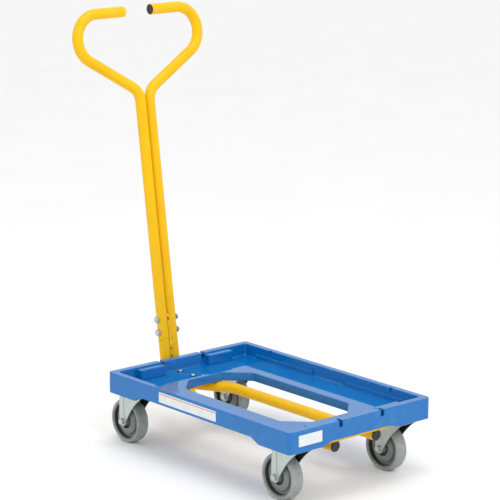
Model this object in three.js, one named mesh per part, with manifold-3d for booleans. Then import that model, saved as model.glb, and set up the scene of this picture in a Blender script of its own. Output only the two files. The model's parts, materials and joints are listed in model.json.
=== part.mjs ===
// Folding platform cart: a moulded tray deck on four swivel casters, with a heart-shaped tube handle
// that folds forward over the deck about the lower of its two foot bolts.
// Millimetres, +Z up, +X towards the front of the cart (away from the handle), +Y to its left.
// Until the last lines everything is placed from the point on the floor under the middle of the deck.
import * as THREE from "three";
import { mergeVertices } from "three/addons/utils/BufferGeometryUtils.js";
import Module from "manifold-3d";

const wasm = await Module();
wasm.setup();

// ---------------------------------------------------------------- driving dimensions
const GAP = 0.3; // running gap kept between neighbouring pieces
const DECK_LENGTH = 614;
const DECK_WIDTH = 408;
const DECK_CORNER_RADIUS = 10;
const RIM_TOP = 171.5;
const FLOOR_TOP = 144;
const SKIRT_BOTTOM = 124;
const SIDE_SKIRT_BOTTOM = 136; // long sides, between the corners
const END_SKIRT_BOTTOM = 132; // short ends, between the corners
const RIM_WIDTH = 18;
const WALL = 5;
const OPENING_LENGTH = 416;
const OPENING_WIDTH = 200;
const OPENING_CHAMFER = 50;
const COLLAR_BOTTOM = 124.4; // lower edge of the wall round the opening
const NOTCH = { spacing: 120, width: 10, depth: 15 }; // two in each short end of the rim
const SLOT = { spacing: 400, width: 8, depth: 11, reach: 5 }; // two in the inner face of each long side
const SIDE_RIM_WIDTH = 16; // along the long sides
const RIB_THICKNESS = 3;
const CROSS_RIB_PITCH = 60;
const CROSS_RIB_BOTTOM = SIDE_SKIRT_BOTTOM - 0.5;
const LONG_RIB_PITCH = 45;
const LONG_RIB_BOTTOM = END_SKIRT_BOTTOM - 0.5;
const CORNER_BLOCK = { x: 222, y: 102 }; // inner corner of the solid block over each caster
const BOLT_BOSS_RADIUS = 9;
const END_PAD = { y0: 64, y1: 135, reach: 17, height: 24 }; // step inside each short end
const SIDE_LEDGE = { x0: 50, x1: 250, reach: 3, height: 9.5, slope: 10 }; // step inside each long side

const TUBE_RADIUS = 12.7;
const BORE_RADIUS = 11.2;
const PAIR_HALF_SPACING = TUBE_RADIUS + GAP / 2;
const TUBE_SIDES = 16;
const LEAN = THREE.MathUtils.degToRad(8.12); // handle leans outward from the vertical
const PIVOT = new THREE.Vector3(-347.5, 0, 222.5);
const LOCK_BOLT_HEIGHT = 30; // lock bolt above the fold bolt, along the handle
const KNUCKLE_RADIUS = 19; // rounded foot of the handle tubes
const KNUCKLE_CLEARANCE = 1.2; // between that foot and its seat in the stubs
const HANDLE_BOLT_RADIUS = 4;

const HEART_FORK_HEIGHT = 556; // where the two tubes part, above the pivot
const HEART_RISE = THREE.MathUtils.degToRad(31.2);
const HEART_TOP = 740;
const HEART_LOBE_RADIUS = 56;
const HEART_END = 39; // half of the gap between the two tube ends

const FRAME_HEIGHT = 111; // centre of the tubes under the deck
const FRAME_HALF_SPACING = 59.5;
const FRAME_BEND_RADIUS = 55;
const FRAME_FRONT = 288;

const PLATE_BOTTOM = SKIRT_BOTTOM;
const PLATE_THICKNESS = 6; // cross plates between the tubes and the deck

const AXLE_RADIUS = 4;
const WHEEL_RADIUS = 50.8;
const WHEEL_SIDES = 24;
const CASTER_X = 260.8;
const CASTER_Y = 151;
const CASTER_TRAIL = 34.9;
const FORK_INNER = 18.5; // half of the space between the fork legs
const FORK_SHEET = 3;
const FORK_TOP = 119.5;
const FORK_RIB = 1.2; // how far the pressed rib stands out of each leg
const FORK_FOOT = 11.5; // radius of each leg's end, round the axle
const FORK_REAR_TOP = -44; // the trailing edge leans back from here
const FORK_REAR_LOW = -47;
const TOP_PLATE_THICKNESS = 3;

// ---------------------------------------------------------------- materials
function finish(color, roughness, metalness) {
  return () => new THREE.MeshStandardMaterial({ color, roughness, metalness });
}
const blueMoulding = finish(0x2f7fc6, 0.3, 0);
const yellowPaint = finish(0xf2c21a, 0.35, 0.1);
const zinc = finish(0xc3c8c4, 0.35, 0.9);
const greyWheel = finish(0x7b807e, 0.6, 0);
const greyTread = finish(0x8b908e, 0.75, 0);
const blackPlug = finish(0x232323, 0.6, 0);
const whiteLabel = finish(0xf0f0f2, 0.4, 0);

// ---------------------------------------------------------------- solids and booleans
function solid(geometry) {
  const bare = geometry.clone();
  bare.deleteAttribute("normal");
  bare.deleteAttribute("uv");
  const merged = mergeVertices(bare, 1e-4);
  return new wasm.Manifold(
    new wasm.Mesh({
      numProp: 3,
      vertProperties: new Float32Array(merged.attributes.position.array),
      triVerts: new Uint32Array(merged.index.array),
    }),
  );
}

function toGeometry(manifold) {
  const mesh = manifold.getMesh();
  const geometry = new THREE.BufferGeometry();
  geometry.setAttribute("position", new THREE.BufferAttribute(new Float32Array(mesh.vertProperties), 3));
  geometry.setIndex(new THREE.BufferAttribute(new Uint32Array(mesh.triVerts), 1));
  geometry.computeVertexNormals();
  return geometry;
}

function join(...pieces) {
  return pieces.reduce((sum, piece) => sum.add(piece));
}

function carve(base, ...cuts) {
  return cuts.reduce((left, cut) => left.subtract(cut), base);
}

function block(x0, x1, y0, y1, z0, z1) {
  const geometry = new THREE.BoxGeometry(x1 - x0, y1 - y0, z1 - z0);
  return geometry.translate((x0 + x1) / 2, (y0 + y1) / 2, (z0 + z1) / 2);
}

function extrudeUp(shape, z0, z1, options = {}) {
  const settings = { depth: z1 - z0, bevelEnabled: false, curveSegments: 2, ...options };
  return new THREE.ExtrudeGeometry(shape, settings).translate(0, 0, z0);
}

// A shape drawn in X and Z, extruded along Y.
function extrudeAcross(shape, y0, y1, curveSegments = 4) {
  const geometry = new THREE.ExtrudeGeometry(shape, { depth: y1 - y0, bevelEnabled: false, curveSegments });
  return geometry.rotateX(Math.PI / 2).translate(0, y1, 0);
}

// A shape drawn in Y and Z, extruded along X.
function extrudeAlong(shape, x0, x1) {
  const geometry = new THREE.ExtrudeGeometry(shape, { depth: x1 - x0, bevelEnabled: false });
  const turn = new THREE.Matrix4().makeBasis(
    new THREE.Vector3(0, 1, 0),
    new THREE.Vector3(0, 0, 1),
    new THREE.Vector3(1, 0, 0),
  );
  return geometry.applyMatrix4(turn).translate(x0, 0, 0);
}

function polygon(...points) {
  return new THREE.Shape(points.map(([x, y]) => new THREE.Vector2(x, y)));
}

function circle(radius) {
  return new THREE.Shape().absarc(0, 0, radius, 0, Math.PI * 2);
}

function roundedRectangle(length, width, radius) {
  const x = length / 2 - radius;
  const y = width / 2 - radius;
  return new THREE.Shape()
    .absarc(x, y, radius, 0, Math.PI / 2)
    .absarc(-x, y, radius, Math.PI / 2, Math.PI)
    .absarc(-x, -y, radius, Math.PI, Math.PI * 1.5)
    .absarc(x, -y, radius, Math.PI * 1.5, Math.PI * 2);
}

function chamferedRectangle(length, width, chamfer) {
  const x = length / 2;
  const y = width / 2;
  const cx = x - chamfer;
  const cy = y - chamfer;
  return polygon([x, -cy], [x, cy], [cx, y], [-cx, y], [-x, cy], [-x, -cy], [-cx, -y], [cx, -y]);
}

function cylinderAcross(radius, y0, y1, x = 0, z = 0, sides = 14) {
  return new THREE.CylinderGeometry(radius, radius, y1 - y0, sides).translate(x, (y0 + y1) / 2, z);
}

function cylinderUp(radius, z0, z1, x = 0, y = 0, sides = 14) {
  const geometry = new THREE.CylinderGeometry(radius, radius, z1 - z0, sides).rotateX(Math.PI / 2);
  return geometry.translate(x, y, (z0 + z1) / 2);
}

// ---------------------------------------------------------------- bent tubes
// A path given by its stations, so that straight runs take one step and bends take several.
class StationPath extends THREE.Curve {
  constructor(stations) {
    super();
    this.stations = stations;
  }

  station(u) {
    return this.stations[Math.round(u * (this.stations.length - 1))];
  }

  getPoint(t) {
    return this.station(t).point.clone();
  }

  getPointAt(u) {
    return this.station(u).point.clone();
  }

  getTangentAt(u) {
    return this.station(u).tangent.clone();
  }
}

// Straight runs between corners, with each corner rounded to its bend radius.
function bentPath(corners, radii, stepAngle = 0.27) {
  const stations = [];
  const last = corners.length - 1;
  const add = (point, tangent) => stations.push({ point: point.clone(), tangent: tangent.clone() });
  const direction = (i) => corners[i + 1].clone().sub(corners[i]).normalize();
  add(corners[0], direction(0));
  for (let i = 1; i < last; i += 1) {
    const into = direction(i - 1);
    const out = direction(i);
    const turn = into.angleTo(out);
    const radius = radii[i - 1];
    const start = corners[i].clone().addScaledVector(into, -radius * Math.tan(turn / 2));
    const inward = out.clone().addScaledVector(into, -out.dot(into)).normalize();
    const centre = start.clone().addScaledVector(inward, radius);
    const steps = Math.max(2, Math.ceil(turn / stepAngle));
    for (let k = 0; k <= steps; k += 1) {
      const angle = (turn * k) / steps;
      const point = centre.clone().addScaledVector(inward, -radius * Math.cos(angle));
      point.addScaledVector(into, radius * Math.sin(angle));
      const tangent = into.clone().multiplyScalar(Math.cos(angle)).addScaledVector(inward, Math.sin(angle));
      add(point, tangent);
    }
  }
  add(corners[last], direction(last - 1));
  return new StationPath(stations);
}

function sweep(path, radius, sides) {
  return new THREE.ExtrudeGeometry(circle(radius), {
    steps: path.stations.length - 1,
    extrudePath: path,
    curveSegments: sides / 2,
  });
}

// A tube that is open at its far end and filled by a pressed-in insert up to boreStart from its near end.
function tube(corners, radii, boreStart) {
  const near = corners[0].clone();
  const towards = corners[1].clone().sub(near).normalize();
  const boreCorners = corners.map((corner) => corner.clone());
  boreCorners[0] = near.addScaledVector(towards, boreStart);
  const last = corners.length - 1;
  const away = corners[last].clone().sub(corners[last - 1]).normalize();
  boreCorners[last].add(away);
  const outside = solid(sweep(bentPath(corners, radii), TUBE_RADIUS, TUBE_SIDES));
  return carve(outside, solid(sweep(bentPath(boreCorners, radii), BORE_RADIUS, TUBE_SIDES - 4)));
}

// ---------------------------------------------------------------- scene helpers
function add(parent, name, geometry, material) {
  const mesh = new THREE.Mesh(geometry, material());
  mesh.name = name;
  parent.add(mesh);
  return mesh;
}

function group(parent, x = 0, y = 0, z = 0) {
  const child = new THREE.Group();
  child.position.set(x, y, z);
  parent.add(child);
  return child;
}

const cart = new THREE.Group();
const build = group(cart);

// ---------------------------------------------------------------- deck
const LABEL_DEPTH = 1;
const SIDE_LABEL = { x0: -123.5, x1: 71.5, z0: 141, z1: 165 };
const END_LABEL = { y0: -179, y1: -113, z0: 137, z1: 162 };
const FLOOR_BOLT_X = [-276, -230];
const FLOOR_BOLT_Y = -20;
const FLOOR_BOLT_RADIUS = 3;

function skirtCut(half, slope, bottom, z0) {
  return polygon([-half - slope, z0], [half + slope, z0], [half, bottom], [-half, bottom]);
}

// Two numbers put in rising order, mirrored first if side is -1.
function span(side, a, b) {
  return [side * a, side * b].sort((p, q) => p - q);
}

function deckUnderside() {
  const roof = FLOOR_TOP - WALL;
  const low = SKIRT_BOTTOM - 4;
  const bossBottom = PLATE_BOTTOM + PLATE_THICKNESS + 0.5;
  const innerLength = DECK_LENGTH - 2 * WALL;
  const innerWidth = DECK_WIDTH - 2 * WALL;
  const rimInner = 2 * (RIM_WIDTH - WALL);
  const halfRib = RIB_THICKNESS / 2;
  const pocket = solid(extrudeUp(roundedRectangle(innerLength, innerWidth, 10), low, roof));
  const rimHollow = carve(
    solid(extrudeUp(roundedRectangle(innerLength, innerWidth, 10), roof - 1, RIM_TOP - WALL)),
    solid(extrudeUp(roundedRectangle(DECK_LENGTH - rimInner, DECK_WIDTH - rimInner, 6), roof - 2, RIM_TOP)),
  );
  const collar = chamferedRectangle(
    OPENING_LENGTH + 2 * WALL,
    OPENING_WIDTH + 2 * WALL,
    OPENING_CHAMFER + WALL * 0.6,
  );
  const kept = [solid(extrudeUp(collar, COLLAR_BOTTOM, roof + 1))];
  for (let i = -3; i <= 3; i += 1) {
    const x = i * CROSS_RIB_PITCH;
    const rib = block(x - halfRib, x + halfRib, -DECK_WIDTH / 2, DECK_WIDTH / 2, CROSS_RIB_BOTTOM, RIM_TOP);
    kept.push(solid(rib));
  }
  for (let i = -2; i <= 2; i += 1) {
    const y = i * LONG_RIB_PITCH;
    const rib = block(-DECK_LENGTH / 2, DECK_LENGTH / 2, y - halfRib, y + halfRib, LONG_RIB_BOTTOM, RIM_TOP);
    kept.push(solid(rib));
  }
  const blockBottom = SKIRT_BOTTOM + TOP_PLATE_THICKNESS + GAP;
  for (const sx of [-1, 1]) {
    for (const sy of [-1, 1]) {
      const xs = span(sx, CORNER_BLOCK.x, DECK_LENGTH / 2);
      const ys = span(sy, CORNER_BLOCK.y, DECK_WIDTH / 2);
      kept.push(solid(block(...xs, ...ys, blockBottom, roof + 1)));
    }
  }
  for (const x of FLOOR_BOLT_X) {
    kept.push(solid(cylinderUp(BOLT_BOSS_RADIUS, bossBottom, roof + 1, x, FLOOR_BOLT_Y)));
  }
  return carve(join(pocket, rimHollow), ...kept);
}

// Steps that stand on the floor against the inside of the rim.
function deckPads() {
  const pads = [];
  const endX = DECK_LENGTH / 2 - RIM_WIDTH;
  const sideY = DECK_WIDTH / 2 - SIDE_RIM_WIDTH;
  const base = FLOOR_TOP - 1;
  const ledgeTop = FLOOR_TOP + SIDE_LEDGE.height;
  for (const sx of [-1, 1]) {
    for (const sy of [-1, 1]) {
      const xs = span(sx, endX - END_PAD.reach, endX + 1);
      pads.push(solid(block(...xs, ...span(sy, END_PAD.y0, END_PAD.y1), base, FLOOR_TOP + END_PAD.height)));
      const ledge = polygon(
        [sx * SIDE_LEDGE.x0, ledgeTop + SIDE_LEDGE.slope],
        [sx * (SIDE_LEDGE.x0 + SIDE_LEDGE.slope), ledgeTop],
        [sx * SIDE_LEDGE.x1, ledgeTop],
        [sx * SIDE_LEDGE.x1, base],
        [sx * SIDE_LEDGE.x0, base],
      );
      pads.push(solid(extrudeAcross(ledge, ...span(sy, sideY - SIDE_LEDGE.reach, sideY + 1))));
    }
  }
  return pads;
}

// Everything cut out of the skirt and the rim: the windows between the corners, the notches and the slots.
function skirtAndRimCuts() {
  const low = SKIRT_BOTTOM - 5;
  const endX = DECK_LENGTH / 2;
  const sideY = DECK_WIDTH / 2;
  const through = WALL + 3; // deep enough to pass the skirt and its inner radius
  const slopeLong = 24 * ((SIDE_SKIRT_BOTTOM - low) / (SIDE_SKIRT_BOTTOM - SKIRT_BOTTOM));
  const slopeShort = 26 * ((END_SKIRT_BOTTOM - low) / (END_SKIRT_BOTTOM - SKIRT_BOTTOM));
  const cuts = [];
  for (const side of [-1, 1]) {
    const longWindow = skirtCut(186, slopeLong, SIDE_SKIRT_BOTTOM, low);
    cuts.push(solid(extrudeAcross(longWindow, ...span(side, sideY - through, sideY + 1))));
    const shortWindow = skirtCut(85, slopeShort, END_SKIRT_BOTTOM, low);
    cuts.push(solid(extrudeAlong(shortWindow, ...span(side, endX - through, endX + 1))));
    for (const half of [-0.5, 0.5]) {
      const y = half * NOTCH.spacing;
      const ys = [y - NOTCH.width / 2, y + NOTCH.width / 2];
      const across = span(side, endX - RIM_WIDTH - 1, endX + 1);
      cuts.push(solid(block(...across, ...ys, RIM_TOP - NOTCH.depth, RIM_TOP + 1)));
      const x = half * SLOT.spacing;
      const xs = [x - SLOT.width / 2, x + SLOT.width / 2];
      const reach = span(side, sideY - RIM_WIDTH, sideY - RIM_WIDTH + SLOT.reach);
      cuts.push(solid(block(...xs, ...reach, RIM_TOP - SLOT.depth, RIM_TOP + 1)));
    }
  }
  return cuts;
}

function deck() {
  const bevel = 2.5;
  const shell = extrudeUp(roundedRectangle(DECK_LENGTH, DECK_WIDTH, DECK_CORNER_RADIUS), 0, 0, {
    depth: RIM_TOP - SKIRT_BOTTOM - 2 * bevel,
    bevelEnabled: true,
    bevelThickness: bevel,
    bevelSize: bevel,
    bevelOffset: -bevel,
    bevelSegments: 2,
  }).translate(0, 0, SKIRT_BOTTOM + bevel);
  const trayLength = DECK_LENGTH - 2 * RIM_WIDTH;
  const trayWidth = DECK_WIDTH - 2 * SIDE_RIM_WIDTH;
  const tray = extrudeUp(roundedRectangle(trayLength, trayWidth, 8), FLOOR_TOP, RIM_TOP + 1);
  const opening = extrudeUp(
    chamferedRectangle(OPENING_LENGTH, OPENING_WIDTH, OPENING_CHAMFER),
    COLLAR_BOTTOM - 5,
    FLOOR_TOP + 1,
  );
  const tub = join(carve(solid(shell), solid(tray)), ...deckPads());
  const near = -DECK_WIDTH / 2;
  const front = DECK_LENGTH / 2;
  const holes = FLOOR_BOLT_X.map((x) =>
    solid(cylinderUp(FLOOR_BOLT_RADIUS + GAP, SKIRT_BOTTOM, FLOOR_TOP + 1, x, FLOOR_BOLT_Y, 12)),
  );
  return carve(
    tub,
    solid(opening),
    deckUnderside(),
    ...skirtAndRimCuts(),
    solid(block(SIDE_LABEL.x0, SIDE_LABEL.x1, near - 1, near + LABEL_DEPTH, SIDE_LABEL.z0, SIDE_LABEL.z1)),
    solid(block(front - LABEL_DEPTH, front + 1, END_LABEL.y0, END_LABEL.y1, END_LABEL.z0, END_LABEL.z1)),
    ...holes,
  );
}

add(build, "deck", toGeometry(deck()), blueMoulding);
{
  const { x0, x1, z0, z1 } = SIDE_LABEL;
  const face = -DECK_WIDTH / 2;
  const side = block(x0 + GAP, x1 - GAP, face + 0.1, face + LABEL_DEPTH - GAP, z0 + GAP, z1 - GAP);
  add(build, "side_label", side, whiteLabel);
}
{
  const { y0, y1, z0, z1 } = END_LABEL;
  const face = DECK_LENGTH / 2;
  const end = block(face - LABEL_DEPTH + GAP, face - 0.1, y0 + GAP, y1 - GAP, z0 + GAP, z1 - GAP);
  add(build, "end_label", end, whiteLabel);
}

FLOOR_BOLT_X.forEach((x, i) => {
  const head = new THREE.LatheGeometry(
    [
      [0, PLATE_BOTTOM + 0.5],
      [FLOOR_BOLT_RADIUS, PLATE_BOTTOM + 0.5],
      [FLOOR_BOLT_RADIUS, FLOOR_TOP + GAP],
      [7.5, FLOOR_TOP + GAP],
      [7.5, FLOOR_TOP + 2],
      [5, FLOOR_TOP + 3.6],
      [0, FLOOR_TOP + 4.2],
    ].map(([r, y]) => new THREE.Vector2(r, y)),
    16,
  );
  const bolt = add(build, `floor_bolt_${i + 1}`, head.rotateX(Math.PI / 2), zinc);
  bolt.position.set(x, FLOOR_BOLT_Y, 0);
});

// ---------------------------------------------------------------- frame under the deck
const leanAxis = new THREE.Vector3(-Math.sin(LEAN), 0, Math.cos(LEAN));
const STUB_TOP = -10; // along the handle from the pivot, before the knuckle is hollowed
const STUB_SOLID = 50; // length of the insert in the top of the stub
const TONGUE_HALF = 2.2;
const TONGUE_REACH = 9; // half of the tongue's width

function frameTube(side) {
  const y = side * PAIR_HALF_SPACING;
  const top = PIVOT.clone().addScaledVector(leanAxis, STUB_TOP).setY(y);
  const foot = new THREE.Vector3(PIVOT.x + (PIVOT.z - FRAME_HEIGHT) * Math.tan(LEAN), y, FRAME_HEIGHT);
  const corners = [
    top,
    foot,
    new THREE.Vector3(-262, y, FRAME_HEIGHT),
    new THREE.Vector3(-182, side * FRAME_HALF_SPACING, FRAME_HEIGHT),
    new THREE.Vector3(FRAME_FRONT, side * FRAME_HALF_SPACING, FRAME_HEIGHT),
  ];
  const radii = [FRAME_BEND_RADIUS, FRAME_BEND_RADIUS, FRAME_BEND_RADIUS];
  const seat = cylinderAcross(KNUCKLE_RADIUS + KNUCKLE_CLEARANCE, -60, 60, PIVOT.x, PIVOT.z, 24);
  const relief = new THREE.BoxGeometry(40, 2 * (TONGUE_HALF + GAP), 60).translate(0, 0, -30);
  relief.rotateY(-LEAN).translate(PIVOT.x, 0, PIVOT.z);
  return carve(tube(corners, radii, STUB_SOLID), solid(seat), solid(relief));
}

for (const [word, side] of [["left", 1], ["right", -1]]) {
  add(build, `frame_tube_${word}`, toGeometry(frameTube(side)), yellowPaint);
  const plug = add(build, `frame_plug_${word}`, plugGeometry(TUBE_RADIUS, 3.8), blackPlug);
  plug.rotation.z = -Math.PI / 2;
  plug.position.set(FRAME_FRONT, side * FRAME_HALF_SPACING, FRAME_HEIGHT);
}

// End plug drawn round the Y axis: flange and dome above the tube's end, stem inside its bore.
function plugGeometry(flange, height) {
  const stem = BORE_RADIUS - 0.6;
  const edge = GAP + (height - GAP) * 0.4;
  const profile = [
    [0, -14],
    [stem - 1, -14],
    [stem, -12],
    [stem, GAP],
    [flange, GAP],
    [flange, edge],
    [flange - 2, (edge + 2 * height) / 3],
    [flange - 7, height],
    [0, height],
  ];
  return new THREE.LatheGeometry(profile.map(([r, y]) => new THREE.Vector2(r, y)), TUBE_SIDES);
}

const FRONT_PLATE = { x0: 258, x1: 298, half: 90 };
const REAR_PLATE = { x0: -281.5, x1: -217, half: 45 };
const plateTop = PLATE_BOTTOM + PLATE_THICKNESS;
{
  const { x0, x1, half } = FRONT_PLATE;
  const shape = roundedRectangle(x1 - x0, 2 * half, 8);
  const front = add(build, "front_cross_plate", extrudeUp(shape, PLATE_BOTTOM, plateTop), yellowPaint);
  front.position.x = (x0 + x1) / 2;
}
{
  const { x0, x1, half } = REAR_PLATE;
  const plate = block(x0, x1, -half, half, PLATE_BOTTOM, plateTop);
  const holes = FLOOR_BOLT_X.map((x) =>
    solid(cylinderUp(FLOOR_BOLT_RADIUS + GAP, PLATE_BOTTOM - 1, plateTop + 1, x, FLOOR_BOLT_Y, 12)),
  );
  add(build, "rear_cross_plate", toGeometry(carve(solid(plate), ...holes)), yellowPaint);
}

// ---------------------------------------------------------------- fold joint
// Everything here is drawn along the leaning handle, from the fold bolt.
const foldJoint = group(build, PIVOT.x, PIVOT.y, PIVOT.z);
foldJoint.rotation.y = -LEAN;

function tonguePlate() {
  const outline = new THREE.Shape()
    .moveTo(-TONGUE_REACH, -56)
    .lineTo(TONGUE_REACH, -56)
    .lineTo(TONGUE_REACH, LOCK_BOLT_HEIGHT + 4)
    .absarc(0, LOCK_BOLT_HEIGHT + 4, TONGUE_REACH, 0, Math.PI);
  const plate = solid(extrudeAcross(outline, -TONGUE_HALF, TONGUE_HALF));
  const hole = HANDLE_BOLT_RADIUS + GAP;
  const inner = LOCK_BOLT_HEIGHT - hole;
  const outer = LOCK_BOLT_HEIGHT + hole;
  // The lock bolt leaves its seat along an arc about the fold bolt, through the open side of this slot.
  const slot = new THREE.Shape()
    .absarc(0, LOCK_BOLT_HEIGHT, hole, Math.PI / 2, Math.PI * 1.5)
    .absarc(0, 0, inner, Math.PI / 2, Math.PI / 6, true)
    .absarc(0, 0, outer, Math.PI / 6, Math.PI / 2);
  const pivotHole = solid(cylinderAcross(hole, -5, 5));
  return carve(plate, pivotHole, solid(extrudeAcross(slot, -5, 5)));
}

// Hex bolt along Y with its head on the right-hand side, and its nut on the left.
const HEX_CORNER = 7.5; // half of the width across corners of every head and nut
const HEAD_HEIGHT = 5.3;
const BOLT_FACE = PAIR_HALF_SPACING + TUBE_RADIUS; // outer side of the tube pair

function hexBolt(radius, corner, headHeight, face, tip) {
  const head = new THREE.CylinderGeometry(corner, corner, headHeight, 6);
  const bolt = join(
    solid(head.translate(0, -face - GAP - headHeight / 2, 0)),
    solid(cylinderAcross(radius, -face - GAP - 1, tip, 0, 0, 12)),
  );
  return toGeometry(bolt);
}

function hexNut(radius, corner, height, face) {
  const body = new THREE.CylinderGeometry(corner, corner, height, 6).translate(0, face + GAP + height / 2, 0);
  const hole = cylinderAcross(radius + 0.2, face - 5, face + height + 5, 0, 0, 12);
  return toGeometry(carve(solid(body), solid(hole)));
}

add(foldJoint, "tongue_plate", toGeometry(tonguePlate()), yellowPaint);
for (const [word, height] of [["fold", 0], ["lock", LOCK_BOLT_HEIGHT]]) {
  const bolt = hexBolt(HANDLE_BOLT_RADIUS, HEX_CORNER, HEAD_HEIGHT, BOLT_FACE, BOLT_FACE + 9);
  const nut = hexNut(HANDLE_BOLT_RADIUS, HEX_CORNER, 6.5, BOLT_FACE);
  add(foldJoint, `${word}_bolt`, bolt, zinc).position.z = height;
  add(foldJoint, `${word}_nut`, nut, zinc).position.z = height;
}

// ---------------------------------------------------------------- handle
function handleTube(side) {
  const y = side * PAIR_HALF_SPACING;
  const reach = PAIR_HALF_SPACING + (HEART_TOP - HEART_FORK_HEIGHT) / Math.tan(HEART_RISE);
  const corners = [
    new THREE.Vector3(0, y, -KNUCKLE_RADIUS),
    new THREE.Vector3(0, y, HEART_FORK_HEIGHT),
    new THREE.Vector3(0, side * reach, HEART_TOP),
    new THREE.Vector3(0, side * HEART_END, HEART_TOP),
  ];
  const boreStart = LOCK_BOLT_HEIGHT + 2 * KNUCKLE_RADIUS;
  const body = tube(corners, [32, HEART_LOBE_RADIUS], boreStart);
  const knuckle = carve(
    solid(block(-30, 30, -40, 40, -KNUCKLE_RADIUS - 10, 0)),
    solid(cylinderAcross(KNUCKLE_RADIUS, -50, 50, 0, 0, 24)),
  );
  const relief = solid(block(-30, 30, -TONGUE_HALF - GAP, TONGUE_HALF + GAP, -40, LOCK_BOLT_HEIGHT + 17));
  const hole = HANDLE_BOLT_RADIUS + GAP;
  const pivotHole = solid(cylinderAcross(hole, -50, 50));
  const lockHole = solid(cylinderAcross(hole, -50, 50, 0, LOCK_BOLT_HEIGHT));
  return carve(body, knuckle, relief, pivotHole, lockHole);
}

for (const [word, side] of [["left", 1], ["right", -1]]) {
  add(foldJoint, `handle_tube_${word}`, toGeometry(handleTube(side)), yellowPaint);
  const plug = add(foldJoint, `handle_plug_${word}`, plugGeometry(TUBE_RADIUS - 0.8, 1.3), blackPlug);
  plug.rotation.x = side > 0 ? Math.PI : 0;
  plug.position.set(0, side * HEART_END, HEART_TOP);
}

// ---------------------------------------------------------------- casters
function lathe(profile, sides) {
  const points = [...profile, profile[0]].map(([r, y]) => new THREE.Vector2(r, y));
  return new THREE.LatheGeometry(points, sides);
}

function topPlate() {
  const plate = extrudeUp(roundedRectangle(66, 88, 6), PLATE_BOTTOM, PLATE_BOTTOM + TOP_PLATE_THICKNESS);
  const low = PLATE_BOTTOM - 1;
  const high = PLATE_BOTTOM + TOP_PLATE_THICKNESS + 1;
  const cuts = [solid(cylinderUp(6.5, low, high))];
  for (const x of [-24, 24]) {
    for (const y of [-34, 34]) {
      cuts.push(solid(cylinderUp(4.2, low, high, x, y, 8)));
    }
  }
  return toGeometry(carve(solid(plate), ...cuts));
}

// Ball race ring pressed under the top plate, round the kingpin.
function raceRing() {
  const low = FORK_TOP + GAP;
  const high = PLATE_BOTTOM - GAP;
  return lathe([[7, low], [25, low], [28, low + 1.5], [28, high], [7, high]], 16).rotateX(Math.PI / 2);
}

function kingpin() {
  const crownBottom = FORK_TOP - FORK_SHEET - GAP;
  const profile = [
    [0, crownBottom - 5],
    [8, crownBottom - 5],
    [10, crownBottom - 3],
    [10, crownBottom],
    [6, crownBottom],
    [6, PLATE_BOTTOM + TOP_PLATE_THICKNESS],
    [0, PLATE_BOTTOM + TOP_PLATE_THICKNESS],
  ];
  return new THREE.LatheGeometry(profile.map(([r, y]) => new THREE.Vector2(r, y)), 14).rotateX(Math.PI / 2);
}

// Pressed-steel fork, drawn round the swivel axis: a crown and two legs that trail behind it.
function fork() {
  const axleX = -CASTER_TRAIL;
  const legOutline = new THREE.Shape()
    .moveTo(FORK_REAR_TOP, FORK_TOP)
    .lineTo(FORK_REAR_LOW, WHEEL_RADIUS + 22)
    .absarc(axleX, WHEEL_RADIUS, FORK_FOOT, Math.PI, Math.PI * 2)
    .quadraticCurveTo(-3, 89, 40, FORK_TOP);
  const outer = FORK_INNER + FORK_SHEET;
  const crown = block(FORK_REAR_TOP, 34, -FORK_INNER - 1, FORK_INNER + 1, FORK_TOP - FORK_SHEET, FORK_TOP);
  const parts = [solid(crown)];
  for (const side of [-1, 1]) {
    parts.push(solid(extrudeAcross(legOutline, ...span(side, FORK_INNER, outer))));
    const rib = new THREE.Shape()
      .moveTo(FORK_REAR_TOP + 1.5, FORK_TOP - 6)
      .lineTo(FORK_REAR_LOW + 1.5, WHEEL_RADIUS + 22)
      .absarc(axleX, WHEEL_RADIUS, FORK_FOOT - 1.5, Math.PI, Math.PI * 2)
      .lineTo(axleX + 5, WHEEL_RADIUS + 14)
      .lineTo(axleX + 5, FORK_TOP - 6);
    parts.push(solid(extrudeAcross(rib, ...span(side, outer - 0.5, outer + FORK_RIB))));
  }
  return toGeometry(
    carve(
      join(...parts),
      solid(cylinderUp(6.5, FORK_TOP - 10, FORK_TOP + 5)),
      solid(cylinderAcross(AXLE_RADIUS + GAP, -40, 40, axleX, WHEEL_RADIUS, 16)),
    ),
  );
}

// Half a profile round the Y axis, from one edge to the middle, and its mirror image.
function symmetricLathe(half) {
  const lower = half.map(([radius, y]) => [radius, -y]);
  return lathe([...lower, ...half.toReversed()], WHEEL_SIDES);
}

// The flats of the faceted tread, not its corners, are at the wheel's radius.
function tread() {
  const r = WHEEL_RADIUS / Math.cos(Math.PI / WHEEL_SIDES);
  return symmetricLathe([[43.3, 14.2], [46.5, 15.6], [r - 1.4, 13.5], [r, 9]]);
}

// Hub in a round recess, a coned web, and a deep groove inside the rim.
function wheelCore() {
  const hub = [[6.9, 17.5], [10, 17.5], [11, 7.5], [15.2, 7.5]];
  const web = [[17, 14], [31, 9.5], [33.5, 4.5], [39.5, 4.5], [41, 13.8], [42.6, 13.8]];
  return symmetricLathe([...hub, ...web]);
}

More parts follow.
